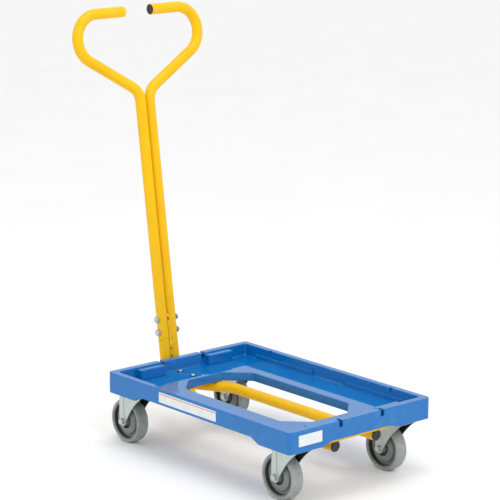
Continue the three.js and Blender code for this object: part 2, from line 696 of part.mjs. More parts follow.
const outerFork = FORK_INNER + FORK_SHEET + FORK_RIB;
for (const [along, sx] of [["front", 1], ["rear", -1]]) {
  for (const [sideWord, sy] of [["left", 1], ["right", -1]]) {
    const name = (piece) => `${along}_${sideWord}_${piece}`;
    const caster = group(build, sx * CASTER_X, sy * CASTER_Y, 0);
    add(caster, name("top_plate"), topPlate(), zinc);
    add(caster, name("race_ring"), raceRing(), zinc);
    add(caster, name("kingpin"), kingpin(), zinc);
    add(caster, name("fork"), fork(), zinc);
    const axle = group(caster, -CASTER_TRAIL, 0, WHEEL_RADIUS);
    const wheel = group(axle);
    wheel.rotation.y = Math.PI / WHEEL_SIDES;
    add(wheel, name("tread"), tread(), greyTread);
    add(wheel, name("wheel_core"), wheelCore(), greyWheel);
    const sleeve = lathe([[4.3, -18.2], [6.5, -18.2], [6.5, 18.2], [4.3, 18.2]], 14);
    add(axle, name("axle_sleeve"), sleeve, zinc);
    const axleBolt = hexBolt(AXLE_RADIUS, HEX_CORNER, HEAD_HEIGHT, outerFork, outerFork + 8.5);
    add(axle, name("axle_bolt"), axleBolt, zinc);
    add(axle, name("axle_nut"), hexNut(AXLE_RADIUS, HEX_CORNER, 6, outerFork), zinc);
  }
}

// ---------------------------------------------------------------- origin
// The part's own origin is on the floor, under the middle of its bounding box.
cart.updateMatrixWorld(true);
const bounds = new THREE.Box3().setFromObject(cart, true);
build.position.x = -(bounds.min.x + bounds.max.x) / 2;
build.position.y = -(bounds.min.y + bounds.max.y) / 2;
build.position.z = -bounds.min.z;

export default cart;
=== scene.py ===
import json
import math

import bmesh
import bpy
from mathutils import Matrix, Vector


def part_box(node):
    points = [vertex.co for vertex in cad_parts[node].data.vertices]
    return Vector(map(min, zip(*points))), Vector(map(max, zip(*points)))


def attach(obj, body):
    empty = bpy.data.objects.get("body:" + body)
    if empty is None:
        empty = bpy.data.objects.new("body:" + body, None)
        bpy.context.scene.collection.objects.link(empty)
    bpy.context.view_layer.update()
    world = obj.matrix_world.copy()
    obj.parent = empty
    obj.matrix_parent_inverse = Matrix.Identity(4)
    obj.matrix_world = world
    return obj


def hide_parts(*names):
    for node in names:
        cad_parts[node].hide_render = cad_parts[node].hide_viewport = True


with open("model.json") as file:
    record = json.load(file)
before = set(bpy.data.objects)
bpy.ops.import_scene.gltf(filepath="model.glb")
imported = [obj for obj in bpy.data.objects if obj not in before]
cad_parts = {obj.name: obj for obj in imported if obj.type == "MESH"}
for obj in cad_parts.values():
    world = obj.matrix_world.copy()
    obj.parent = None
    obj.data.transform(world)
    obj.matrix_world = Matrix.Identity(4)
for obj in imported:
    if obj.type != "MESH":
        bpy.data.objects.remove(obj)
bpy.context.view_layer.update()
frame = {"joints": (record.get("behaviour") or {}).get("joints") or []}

# ---------------------------------------------------------------- places and sizes from the frame
MM = 0.001
TO_METRES = Matrix.Scale(MM, 4)
JOINTS = {joint["name"]: joint for joint in frame["joints"]}
DECK_LOW, DECK_HIGH = (Vector(corner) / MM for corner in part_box("deck"))
DECK_LENGTH = DECK_HIGH.x - DECK_LOW.x
DECK_WIDTH = DECK_HIGH.y - DECK_LOW.y
DECK_MIDDLE = (DECK_LOW.x + DECK_HIGH.x) / 2
RIM_TOP = DECK_HIGH.z
SKIRT_BOTTOM = DECK_LOW.z
DECK_PLACE = TO_METRES @ Matrix.Translation((DECK_MIDDLE, 0, 0))

FLOOR_TOP = 144
WALL = 5
END_RIM = 18
SIDE_RIM = 16
OPENING_LENGTH = 416
OPENING_WIDTH = 200
OPENING_CHAMFER = 50
COLLAR_BOTTOM = 124.4
CORNER_RADIUS = 10
SIDE_SKIRT_BOTTOM = 136
END_SKIRT_BOTTOM = 132
ROOF = FLOOR_TOP - WALL
BOSS_BOTTOM = 130.5
CROSS_RIB_BOTTOM = SIDE_SKIRT_BOTTOM - 0.5
LONG_RIB_BOTTOM = END_SKIRT_BOTTOM - 0.5
CROSS_RIB_PITCH = 60
LONG_RIB_PITCH = 45
RIB_HALF = 1.3
SIDE_WINDOW = (186, 24, SIDE_SKIRT_BOTTOM)    # half length, slope and top of the window in the skirt
END_WINDOW = (85, 26, END_SKIRT_BOTTOM)
END_NOTCH = (60, 10, 15)       # place along the rim, width and depth
SIDE_NOTCH = (200, 8, 11)
PAD_DEPTH = 17
PAD_SPAN = (64, 135)
PAD_HEIGHT = 24
LEDGE_SPAN = (50, 250)
LEDGE_HEIGHT = 9.5
FLOOR_BOLTS = ((-276, -20), (-230, -20))
FLOOR_BOLT_HOLE = 3.3
LABEL_STRIPE = (159.6, 161.6)

GAP = 0.3
TUBE_RADIUS = 12.5
PAIR_HALF_SPACING = 12.85
BOLT_FACE = PAIR_HALF_SPACING + 12.7
LEAN = math.radians(8.12)
LOCK_BOLT_HEIGHT = 30
BOLT_RADIUS = 4
BOLT_HOLE = 4.3
BOLT_CORNER = 7.5        # middle to corner of a 13 mm hexagon
BOLT_HEAD = 5.3
KNUCKLE_RADIUS = 19
KNUCKLE_CLEARANCE = 0.5
TONGUE_HALF = 2.2
TONGUE_REACH = 9
HEART_FORK_HEIGHT = 556
HEART_RISE = math.radians(31.2)
HEART_TOP = 740
HEART_LOBE_RADIUS = 56
HEART_FORK_RADIUS = 42
HEART_END = 39
PIVOT = Vector(JOINTS["handle_fold"]["pos_m"]) / MM
HANDLE_PLACE = TO_METRES @ Matrix.Translation(PIVOT) @ Matrix.Rotation(-LEAN, 4, "Y")
FOLD = PIVOT - Vector((DECK_MIDDLE, 0, 0))    # the fold axis, seen from the middle of the deck

FRAME_HEIGHT = 111
FRAME_HALF_SPACING = 59.5
FRAME_BEND_RADIUS = 55
FRAME_FRONT = 288
FRAME_BEND_START = -262
FRAME_SPREAD_END = -182
FRONT_PLATE = (258, 298, 90)      # from, to and half width
REAR_PLATE = (-281.5, -217, 45)
FRONT_PLATE_BOLTS = ((278, -78), (278, 78))
PLATE_THICKNESS = 6
WELD_OFFSET = 6.2

WHEEL_RADIUS = 50.8
TRAIL = 34.9
FORK_INNER = 18.5
FORK_SHEET = 3
FORK_TOP = 119.5
FORK_RIB = 1.2
FORK_FOOT = 11.5         # radius of a leg's end, round the axle
TOP_PLATE = 3
CASTER_BOLTS = [(x, y) for x in (-24, 24) for y in (-34, 34)]
KINGPIN_HOLE = 6.5
AXLE_RADIUS = 4

# ---------------------------------------------------------------- camera and studio
CAMERA_TARGET = Vector((-0.0212, 0.039, 0.451))
CAMERA_OFFSET = Vector((3.608, -3.110, 1.075))
CAMERA_LENS = 158.4
CAMERA_ROLL = math.radians(0.086)
LIGHT_TARGET = Vector((0, 0, 0.35))
WORLD_STRENGTH = 0.97
STUDIO_HALF = 30.0


def make_camera():
    data = bpy.data.cameras.new("camera")
    data.lens = CAMERA_LENS
    data.clip_end = 50
    camera = bpy.data.objects.new("camera", data)
    bpy.context.scene.collection.objects.link(camera)
    facing = (-CAMERA_OFFSET).to_track_quat("-Z", "Y").to_matrix().to_4x4()
    camera.matrix_world = (
        Matrix.Translation(CAMERA_TARGET + CAMERA_OFFSET) @ facing @ Matrix.Rotation(CAMERA_ROLL, 4, "Z")
    )
    bpy.context.scene.camera = camera


def softbox(name, place, size, watts):
    data = bpy.data.lights.new(name, "AREA")
    data.shape = "RECTANGLE"
    data.size, data.size_y = size
    data.energy = watts
    light = bpy.data.objects.new(name, data)
    bpy.context.scene.collection.objects.link(light)
    toward = LIGHT_TARGET - Vector(place)
    light.matrix_world = Matrix.Translation(place) @ toward.to_track_quat("-Z", "Y").to_matrix().to_4x4()


# ---------------------------------------------------------------- node helpers
class Look:
    """One procedural material, with short calls for the nodes that it needs."""

    def __init__(self, name, base, **settings):
        self.material = bpy.data.materials.new(name)
        self.material.use_nodes = True
        self.tree = self.material.node_tree
        self.shader = self.tree.nodes["Principled BSDF"]
        self.set_input("Base Color", (*base, 1))
        for socket, value in settings.items():
            self.set_input(socket.replace("_", " "), value)
        self.place = self.tree.nodes.new("ShaderNodeTexCoord").outputs["Object"]

    def set_input(self, socket, value):
        self.shader.inputs[socket].default_value = value

    def node(self, kind, links=None, **values):
        made = self.tree.nodes.new("ShaderNode" + kind)
        for key, value in values.items():
            setattr(made, key, value)
        for socket, value in (links or {}).items():
            if isinstance(value, bpy.types.NodeSocket):
                self.tree.links.new(value, made.inputs[socket])
            else:
                made.inputs[socket].default_value = value
        return made

    def noise(self, scale, detail=3.0, roughness=0.5, vector=None, distortion=0.0):
        links = {"Vector": vector or self.place, "Scale": scale, "Detail": detail}
        links.update({"Roughness": roughness, "Distortion": distortion})
        return self.node("TexNoise", links).outputs["Fac"]

    def cells(self, scale, output="Distance"):
        return self.node("TexVoronoi", {"Vector": self.place, "Scale": scale}).outputs[output]

    def stretched(self, scale):
        links = {"Vector": self.place, "Scale": scale}
        return self.node("Mapping", links).outputs["Vector"]

    def fit(self, value, low, high, to_low=0.0, to_high=1.0):
        links = {0: value, 1: low, 2: high, 3: to_low, 4: to_high}
        return self.node("MapRange", links).outputs[0]

    def sum(self, a, b, operation="ADD"):
        return self.node("Math", {0: a, 1: b}, operation=operation).outputs[0]

    def colours(self, factor, *stops):
        made = self.node("ValToRGB", {"Fac": factor})
        ramp = made.color_ramp
        while len(ramp.elements) < len(stops):
            ramp.elements.new(0.5)
        for element, (position, colour) in zip(ramp.elements, stops):
            element.position = position
            element.color = (*colour, 1)
        return made.outputs["Color"]

    def mix(self, factor, a, b):
        made = self.node("Mix", {"Factor": factor}, data_type="RGBA")
        for socket, value in ((made.inputs[6], a), (made.inputs[7], b)):
            if isinstance(value, bpy.types.NodeSocket):
                self.tree.links.new(value, socket)
            else:
                socket.default_value = (*value, 1)
        return made.outputs[2]

    def bump(self, height, distance, strength=1.0, normal=None):
        links = {"Height": height, "Distance": distance, "Strength": strength}
        if normal:
            links["Normal"] = normal
        return self.node("Bump", links).outputs["Normal"]

    def link(self, socket, value):
        self.tree.links.new(value, self.shader.inputs[socket])

    def edges(self, low, high):
        """1 along worn convex edges, 0 elsewhere."""
        return self.fit(self.node("NewGeometry").outputs["Pointiness"], low, high)


# ---------------------------------------------------------------- materials
def blue_moulding():
    """Glossy injection-moulded plastic: flow marks, hairline scratches and slightly paler scuffed edges."""
    look = Look("blue_moulding", (0.003, 0.155, 0.47), IOR=1.5, Specular_IOR_Level=0.45)
    flow = look.noise(4, 3, 0.55, look.stretched((1, 2.4, 2.4)), 0.6)
    body = look.colours(flow, (0.3, (0.001, 0.146, 0.445)), (0.7, (0.003, 0.158, 0.475)))
    scuffs = look.sum(look.edges(0.53, 0.60), look.fit(look.noise(60, 4), 0.45, 0.7), "MULTIPLY")
    hairs = look.fit(look.noise(700, 2, 0.6, look.stretched((0.05, 1, 1)), 0.3), 0.68, 0.74)
    worn = look.mix(look.sum(scuffs, 0.35, "MULTIPLY"), body, (0.10, 0.30, 0.62))
    look.link("Base Color", look.mix(look.sum(hairs, 0.10, "MULTIPLY"), worn, (0.16, 0.36, 0.66)))
    rough = look.sum(look.fit(flow, 0.3, 0.7, 0.018, 0.034), look.sum(scuffs, 0.2, "MULTIPLY"))
    look.link("Roughness", look.sum(rough, look.sum(hairs, 0.10, "MULTIPLY")))
    grain = look.bump(look.noise(1400, 2, 0.5), 0.000001, 0.3)
    look.link("Normal", look.bump(look.noise(7, 2, 0.5), 0.0003, 0.08, grain))
    return look.material


def yellow_powder_coat():
    """Gloss powder coat with a fine orange peel, painted shade that deepens the colour in hollows, and rubbed
    along edges.
    """
    look = Look("yellow_powder_coat", (0.90, 0.50, 0.002), IOR=1.46, Specular_IOR_Level=0.27)
    drift = look.noise(11, 3, 0.5)
    coat = look.colours(drift, (0.3, (0.82, 0.465, 0.001)), (0.7, (0.87, 0.51, 0.002)))
    # Painted shade: the colour turns a deeper orange in hollows, where shade falls.
    hollow = look.fit(look.node("NewGeometry").outputs["Pointiness"], 0.40, 0.49, 1.0, 0.0)
    deep = look.mix(look.sum(hollow, 0.10, "MULTIPLY"), coat, (0.60, 0.25, 0.003))
    rubs = look.sum(look.edges(0.53, 0.58), look.fit(look.noise(90, 4), 0.5, 0.68), "MULTIPLY")
    look.link("Base Color", look.mix(look.sum(rubs, 0.6, "MULTIPLY"), deep, (0.86, 0.60, 0.12)))
    look.link("Roughness", look.fit(look.noise(30, 4), 0.3, 0.7, 0.16, 0.26))
    peel = look.bump(look.noise(420, 2, 0.45), 0.0001, 0.3)
    look.link("Normal", look.bump(look.noise(1800, 1), 0.00003, 0.2, peel))
    return look.material


def zinc_plate(name="zinc_plate", tint=(0.56, 0.615, 0.575)):
    """Bright zinc: faint mottled spangle, fine drawn lines, dull patches and darker hollows."""
    dull = tuple(0.84 * channel for channel in tint)
    look = Look(name, tint, Metallic=0.85)
    spangle = look.cells(320, output="Color")
    tone = look.fit(look.node("SeparateColor", {"Color": spangle}).outputs[0], 0, 1, 0.38, 0.62)
    cloud = look.noise(55, 4, 0.6)
    body = look.colours(look.sum(look.sum(tone, cloud), 0.5, "MULTIPLY"), (0.36, dull), (0.64, tint))
    # The colour darkens towards near black in hollows.
    hollow_darkening = look.fit(look.node("NewGeometry").outputs["Pointiness"], 0.38, 0.47, 0.5, 0.0)
    look.link("Base Color", look.mix(hollow_darkening, body, (0.10, 0.105, 0.10)))
    lines = look.noise(1500, 2, 0.5, look.stretched((1, 1, 0.06)))
    rough = look.sum(look.fit(cloud, 0.3, 0.7, 0.30, 0.42), look.fit(lines, 0.3, 0.7, 0, 0.06))
    look.link("Roughness", rough)
    look.link("Normal", look.bump(lines, 0.00002, 0.2, look.bump(look.noise(180, 3), 0.00006, 0.15)))
    return look.material


def grey_tread():
    """Non-marking rubber: fine pitted grain and a dusty running band."""
    look = Look("grey_tread", (0.31, 0.335, 0.325), Specular_IOR_Level=0.3)
    dust = look.noise(70, 5, 0.65)
    look.link("Base Color", look.colours(dust, (0.35, (0.26, 0.285, 0.275)), (0.75, (0.37, 0.395, 0.385))))
    look.link("Roughness", look.fit(dust, 0.3, 0.7, 0.42, 0.62))
    pits = look.fit(look.cells(1600), 0.0, 0.45)
    look.link("Normal", look.bump(pits, 0.00006, 0.35, look.bump(look.noise(260, 3), 0.0002, 0.3)))
    return look.material


def grey_core(name="grey_core", dark=(0.165, 0.19, 0.18), light=(0.23, 0.255, 0.245)):
    """Moulded polypropylene wheel centre, a little darker and shinier than the tread."""
    look = Look(name, light, Specular_IOR_Level=0.35)
    flow = look.noise(45, 4, 0.6, look.stretched((1, 0.4, 1)), 0.5)
    look.link("Base Color", look.colours(flow, (0.3, dark), (0.75, light)))
    look.link("Roughness", look.fit(flow, 0.3, 0.7, 0.34, 0.5))
    look.link("Normal", look.bump(look.noise(900, 2), 0.00005, 0.3))
    return look.material


def black_plug():
    """Soft polyethylene end plug with a leathery grain and dusty high spots."""
    look = Look("black_plug", (0.012, 0.012, 0.013), Specular_IOR_Level=0.4)
    dust = look.noise(160, 4, 0.6)
    look.link("Base Color", look.colours(dust, (0.4, (0.010, 0.010, 0.011)), (0.8, (0.04, 0.04, 0.042))))
    look.link("Roughness", look.fit(dust, 0.3, 0.7, 0.34, 0.52))
    look.link("Normal", look.bump(look.fit(look.cells(900), 0, 0.5), 0.00006, 0.4))
    return look.material


def label_film(stripe=None):
    """White printed film, slightly wavy, with a red stripe between two heights if it has one."""
    look = Look("label_film_striped" if stripe else "label_film", (0.74, 0.77, 0.77), Coat_Weight=0.2)
    fade = look.noise(35, 3)
    film = look.colours(fade, (0.3, (0.68, 0.72, 0.73)), (0.7, (0.74, 0.78, 0.79)))
    if stripe:
        height = look.node("SeparateXYZ", {"Vector": look.place}).outputs["Z"]
        above = look.sum(height, stripe[0] * MM, "GREATER_THAN")
        below = look.sum(height, stripe[1] * MM, "LESS_THAN")
        film = look.mix(look.sum(above, below, "MULTIPLY"), film, (0.70, 0.16, 0.12))
    look.link("Base Color", film)
    look.link("Roughness", look.fit(fade, 0.3, 0.7, 0.22, 0.34))
    look.link("Normal", look.bump(look.noise(60, 2), 0.0002, 0.3))
    return look.material


def studio_floor():
    look = Look("studio_floor", (0.95, 0.95, 0.95), Specular_IOR_Level=0.1)
    paper = look.noise(3, 3)
    look.link("Base Color", look.colours(paper, (0.3, (0.94, 0.94, 0.94)), (0.7, (0.96, 0.96, 0.96))))
    look.link("Roughness", look.fit(paper, 0.3, 0.7, 0.8, 0.9))
    return look.material


# ---------------------------------------------------------------- outlines and lofts
def rounded(corners, radius, steps=5):
    """Closed outline through 2D or 3D corners, each one rounded. radius is one number or one per corner."""
    points = [Vector(corner) for corner in corners]
    radii = radius if isinstance(radius, (list, tuple)) else [radius] * len(points)
    outline = []
    for i, corner in enumerate(points):
        arc = fillet(points[i - 1], corner, points[(i + 1) % len(points)], radii[i], steps)
        outline.extend(arc)
    return outline


def fillet(before, corner, after, radius, steps, share=0.5):
    """Points along the arc that rounds a corner. The arc takes at most that share of either side."""
    into = (corner - before).normalized()
    out = (after - corner).normalized()
    turn = into.angle(out, 0)
    if radius <= 0 or turn < 1e-3:
        return [corner]
    room = min((corner - before).length * share, (after - corner).length * share)
    reach = min(radius * math.tan(turn / 2), room)
    radius = reach / math.tan(turn / 2)
    start = corner - into * reach
    inward = (out - into * out.dot(into)).normalized()
    centre = start + inward * radius
    arc = []
    for k in range(steps + 1):
        angle = turn * k / steps
        arc.append(centre - inward * radius * math.cos(angle) + into * radius * math.sin(angle))
    return arc


def mesh_from(points, faces):
    data = bpy.data.meshes.new("shape")
    data.from_pydata([tuple(point) for point in points], [], faces)
    work = bmesh.new()
    work.from_mesh(data)
    bmesh.ops.remove_doubles(work, verts=work.verts, dist=1e-4)
    bmesh.ops.dissolve_degenerate(work, edges=work.edges, dist=1e-5)
    bmesh.ops.recalc_face_normals(work, faces=work.faces)
    work.to_mesh(data)
    work.free()
    return data


def loft(rings, ring_round=False):
    """Skin over equal rings of points. The last ring joins the first, or else both ends are capped."""
    count = len(rings[0])
    points = [point for ring in rings for point in ring]
    faces = []
    last = len(rings) if ring_round else len(rings) - 1
    for i in range(last):
        a = i * count
        b = ((i + 1) % len(rings)) * count
        for k in range(count):
            n = (k + 1) % count
            faces.append((a + k, a + n, b + n, b + k))
    if not ring_round:
        faces.append(tuple(reversed(range(count))))
        faces.append(tuple(range(len(points) - count, len(points))))
    return mesh_from(points, faces)


def prism(outline, axis, start, end):
    """Outline extruded along X, Y or Z. Its two numbers are the other two axes, in order."""
    def at(point, along):
        values = [point[0], point[1]]
        values.insert("XYZ".index(axis), along)
        return Vector(values)
    return loft([[at(p, start) for p in outline], [at(p, end) for p in outline]])


def box(x, y, z):
    """Block between pairs of numbers, in any order."""
    (x0, x1), (y0, y1), (z0, z1) = sorted(x), sorted(y), sorted(z)
    return prism([(x0, y0), (x1, y0), (x1, y1), (x0, y1)], "Z", z0, z1)


def arc(x, y, radius, start, turn, steps):
    """Points along an arc about (x, y), with both of its ends."""
    angles = (start + turn * k / steps for k in range(steps + 1))
    return [(x + radius * math.cos(a), y + radius * math.sin(a)) for a in angles]


def circle(radius, sides=48, x=0.0, y=0.0):
    return arc(x, y, radius, 0, 2 * math.pi, sides)[:-1]


def cylinder(axis, radius, start, end, u=0.0, v=0.0, sides=48):
    return prism(circle(radius, sides, u, v), axis, start, end)


def turned_rings(profile, axis, sides, shape=None):
    """Rings of a (radius, height) profile turned about an axis. shape(angle, radius) may alter them."""
    rings = []
    for radius, height in profile:
        ring = []
        for k in range(sides):
            angle = 2 * math.pi * k / sides
            reach = max(shape(angle, radius) if shape else radius, 1e-3)
            u, v = reach * math.cos(angle), reach * math.sin(angle)
            ring.append(Vector({"X": (height, u, v), "Y": (u, height, v), "Z": (u, v, height)}[axis]))
        rings.append(ring)
    return rings


def turned(profile, axis="Z", sides=64, shape=None):
    """Solid of revolution that runs from the first point of the profile to the last."""
    return loft(turned_rings(profile, axis, sides, shape))


def turned_ring(profile, axis="Z", sides=64, shape=None):
    """Closed profile turned into a ring with a hole through it."""
    return loft(turned_rings(profile, axis, sides, shape), ring_round=True)


def open_profile(corners, radius, steps=4):
    """Open (radius, height) profile with its inner corners rounded."""
    points = [Vector(corner) for corner in corners]
    radii = radius if isinstance(radius, (list, tuple)) else [radius] * len(points)
    path = [points[0]]
    for i in range(1, len(points) - 1):
        path.extend(fillet(points[i - 1], points[i], points[i + 1], radii[i], steps))
    return path + [points[-1]]


def bend_path(corners, radii, step=math.radians(4)):
    """Open path of straight runs with rounded corners."""
    points = [Vector(corner) for corner in corners]
    path = [points[0]]
    for i in range(1, len(points) - 1):
        turn = (points[i] - points[i - 1]).angle(points[i + 1] - points[i])
        steps = max(2, math.ceil(turn / step))
        path.extend(fillet(points[i - 1], points[i], points[i + 1], radii[i - 1], steps, 1.0))
    return path + [points[-1]]


def sweep(path, radius, sides=48):
    """Round bar along a path. radius is a number or a function of the distance along it."""
    rings = []
    travelled = 0.0
    normal = None
    for i, point in enumerate(path):
        ahead = path[min(i + 1, len(path) - 1)] - path[max(i - 1, 0)]
        tangent = ahead.normalized()
        if normal is None:
            normal = tangent.orthogonal().normalized()
        normal = (normal - tangent * normal.dot(tangent)).normalized()
        side = tangent.cross(normal)
        if i:
            travelled += (point - path[i - 1]).length
        reach = radius(travelled) if callable(radius) else radius
        turns = (2 * math.pi * k / sides for k in range(sides))
        rings.append([point + normal * reach * math.cos(t) + side * reach * math.sin(t) for t in turns])
    return loft(rings)


# ---------------------------------------------------------------- joining, cutting, placing
def joined(*shapes):
    work = bmesh.new()
    for shape in shapes:
        work.from_mesh(shape)
    data = bpy.data.meshes.new("shape")
    work.to_mesh(data)
    work.free()
    return data


def moved(shape, matrix):
    shape.transform(matrix)
    return shape


def boolean(base, tool, operation="DIFFERENCE"):
    objects = [bpy.data.objects.new("work", shape) for shape in (base, tool)]
    for each in objects:
        bpy.context.scene.collection.objects.link(each)
    cut = objects[0].modifiers.new("cut", "BOOLEAN")
    cut.operation = operation
    cut.solver = "EXACT"
    cut.object = objects[1]
    cut.use_self = True
    bpy.context.view_layer.update()
    evaluated = objects[0].evaluated_get(bpy.context.evaluated_depsgraph_get())
    done = bpy.data.meshes.new_from_object(evaluated)
    for each in objects:
        bpy.data.objects.remove(each)
    return done


def eased(shape, width, segments=2, angle=35):
    """The shape with every edge sharper than the angle rounded off."""
    work = bmesh.new()
    work.from_mesh(shape)
    limit = math.radians(angle)
    sharp = [e for e in work.edges if len(e.link_faces) == 2 and e.calc_face_angle(0) > limit]
    bmesh.ops.bevel(work, geom=sharp, offset=width, segments=segments, profile=0.5, affect="EDGES")
    work.to_mesh(shape)
    work.free()
    return shape


def piece(name, shape, place, material, body, stands_for=(), smooth=32):
    """Puts a finished shape in the scene, riding on its body."""
    shape.transform(place)
    shape.name = name
    shape.materials.clear()
    shape.materials.append(material)
    shape.shade_smooth()
    shape.set_sharp_from_angle(angle=math.radians(smooth))
    made = bpy.data.objects.new(name, shape)
    bpy.context.scene.collection.objects.link(made)
    # Wide flat faces keep one normal beside the small blends at their edges.
    level = made.modifiers.new("level_faces", "WEIGHTED_NORMAL")
    level.keep_sharp = True
    level.weight = 60
    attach(made, body)
    if stands_for:
        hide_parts(*stands_for)
    return made


# ---------------------------------------------------------------- deck
ROUND = 2 - math.sqrt(2)     # chamfer at which two 45 degree arcs of radius 1 make one quarter circle


def deck_ring(half_x, half_y, z, chamfer, radius):
    x, y = half_x, half_y
    corners = [
        (x, chamfer - y), (x, y - chamfer), (x - chamfer, y), (chamfer - x, y),
        (-x, y - chamfer), (-x, chamfer - y), (chamfer - x, -y), (x - chamfer, -y),
    ]
    return [Vector((p.x, p.y, z)) for p in rounded(corners, radius, 5)]


def deck_shell():
    """Lofts the moulding's section round the tray: skirt, rim, floor, collar, underside and rim hollow."""
    def wall(end_inset, side_inset, z, radius, ease):
        half_x, half_y = DECK_LENGTH / 2 - end_inset, DECK_WIDTH / 2 - side_inset
        return (half_x, half_y, z, ROUND * radius, radius, ease)

    def hole(grow, z, ease):
        half_x, half_y = OPENING_LENGTH / 2 + grow, OPENING_WIDTH / 2 + grow
        return (half_x, half_y, z, OPENING_CHAMFER + grow * ROUND, 7, ease)

    section = [
        wall(0, 0, SKIRT_BOTTOM, CORNER_RADIUS, 1.4), wall(0, 0, RIM_TOP, CORNER_RADIUS, 2.4),
        wall(END_RIM, SIDE_RIM, RIM_TOP, 7, 2.6), wall(END_RIM + 0.8, SIDE_RIM + 0.8, FLOOR_TOP, 6, 3.5),
        hole(0, FLOOR_TOP, 2.2), hole(0, COLLAR_BOTTOM, 0.8),
        hole(WALL, COLLAR_BOTTOM, 0.8), hole(WALL, ROOF, 1.5),
        wall(END_RIM - WALL, SIDE_RIM - WALL, ROOF, 8, 1.5),
        wall(END_RIM - WALL, SIDE_RIM - WALL, RIM_TOP - WALL, 8, 1.5),
        wall(WALL, WALL, RIM_TOP - WALL, 6, 1.5), wall(WALL, WALL, SKIRT_BOTTOM, 6, 0.8),
    ]
    rings = []
    for i, corner in enumerate(section):
        before, after = Vector(section[i - 1][:3]), Vector(section[(i + 1) % len(section)][:3])
        here = Vector(corner[:3])
        ease = corner[5]
        start = blend_rings(section[i - 1], corner, 1 - ease / (here - before).length)
        end = blend_rings(corner, section[(i + 1) % len(section)], ease / (after - here).length)
        for k in range(5):
            t = k / 4
            a, b = blend_rings(start, corner, t), blend_rings(corner, end, t)
            rings.append(deck_ring(*blend_rings(a, b, t)[:5]))
    return loft(rings, ring_round=True)


def blend_rings(a, b, t):
    return tuple(p + (q - p) * t for p, q in zip(a, b))


def skirt_relief(half, slope, bottom):
    """Shallow window in the skirt's lower edge between two corners, with eased ends."""
    low = SKIRT_BOTTOM - 5
    spread = slope * (bottom - low) / (bottom - SKIRT_BOTTOM)
    corners = [(-half - spread, low), (half + spread, low), (half, bottom), (-half, bottom)]
    return rounded(corners, [0, 0, 9, 9], 6)


def notch(centre, width, depth):
    """Drop-in slot in the rim's top, with a rounded foot and rounded lips."""
    half = width / 2
    corners = []
    for sy, order in ((-1, 1), (1, -1)):
        edge = centre + sy * half
        corners += [(edge + sy * 0.9, RIM_TOP + 1), (edge, RIM_TOP - 1.2), (edge, RIM_TOP - depth)][::order]
    return rounded(corners, [0, 1.5, 2.4, 2.4, 1.5, 0], 4)


def label_outline(low, high, across, middle=0.0, grow=0.0, radius=1.4, steps=5):
    """Rounded rectangle of a label on the skirt, with an even margin. across is 0 along X and 1 along Y."""
    start, end = low[across] - middle - grow, high[across] - middle + grow
    bottom, top = low.z - grow, high.z + grow
    return rounded([(start, bottom), (end, bottom), (end, top), (start, top)], radius, steps)


def deck_cutters():
    end, side = DECK_LENGTH / 2, DECK_WIDTH / 2
    cutters = []
    for s in (-1, 1):
        cutters.append(prism(skirt_relief(*SIDE_WINDOW), "Y", *sorted((s * (side - 8), s * (side + 1)))))
        cutters.append(prism(skirt_relief(*END_WINDOW), "X", *sorted((s * (end - 8), s * (end + 1)))))
        for n in (-1, 1):
            through = sorted((s * (end - END_RIM - 1.4), s * (end + 1)))
            place, width, depth = END_NOTCH
            cutters.append(prism(notch(n * place, width, depth), "X", *through))
            blind = sorted((s * (side - END_RIM), s * (side - END_RIM + 5)))
            place, width, depth = SIDE_NOTCH
            cutters.append(prism(notch(n * place, width, depth), "Y", *blind))
    for x, y in FLOOR_BOLTS:
        cutters.append(cylinder("Z", FLOOR_BOLT_HOLE, SKIRT_BOTTOM, FLOOR_TOP + 1, x, y, 32))
    low, high = (Vector(corner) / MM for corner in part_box("side_label"))
    recess = label_outline(low, high, 0, DECK_MIDDLE, GAP, 1.5, 4)
    cutters.append(prism(recess, "Y", -side - 1, -side + 1))
    low, high = (Vector(corner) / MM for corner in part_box("end_label"))
    recess = label_outline(low, high, 1, 0, GAP, 1.5, 4)
    cutters.append(prism(recess, "X", end - 1, end + 1))
    return joined(*cutters)


def deck_corner(sx, sy):
    """Pad and ledge inside the rim, and the solid block that a caster is bolted to, in one corner."""
    end, side = DECK_LENGTH / 2, DECK_WIDTH / 2
    face, wall = end - END_RIM, side - SIDE_RIM
    near, far = PAD_SPAN
    pad_x = (sx * (face - PAD_DEPTH), sx * (face + 2))
    pad = box(pad_x, (sy * near, sy * far), (FLOOR_TOP - 1, FLOOR_TOP + PAD_HEIGHT))
    near, far = LEDGE_SPAN
    low, top = FLOOR_TOP - 1, FLOOR_TOP + LEDGE_HEIGHT
    ledge = [
        (sx * near, top + LEDGE_HEIGHT), (sx * (near + 10), top), (sx * far, top),
        (sx * far, low), (sx * near, low),
    ]
    strip = prism(ledge, "Y", *sorted((sy * (wall - 3), sy * (wall + 2))))
    block_x, block_y = (sx * 222, sx * (end - WALL + 1)), (sy * 103, sy * (side - WALL + 1))
    block = box(block_x, block_y, (SKIRT_BOTTOM + 3.3, ROOF + 1))
    return [eased(pad, 3.0, 4), eased(strip, 0.8, 3), eased(block, 1.2, 2)]


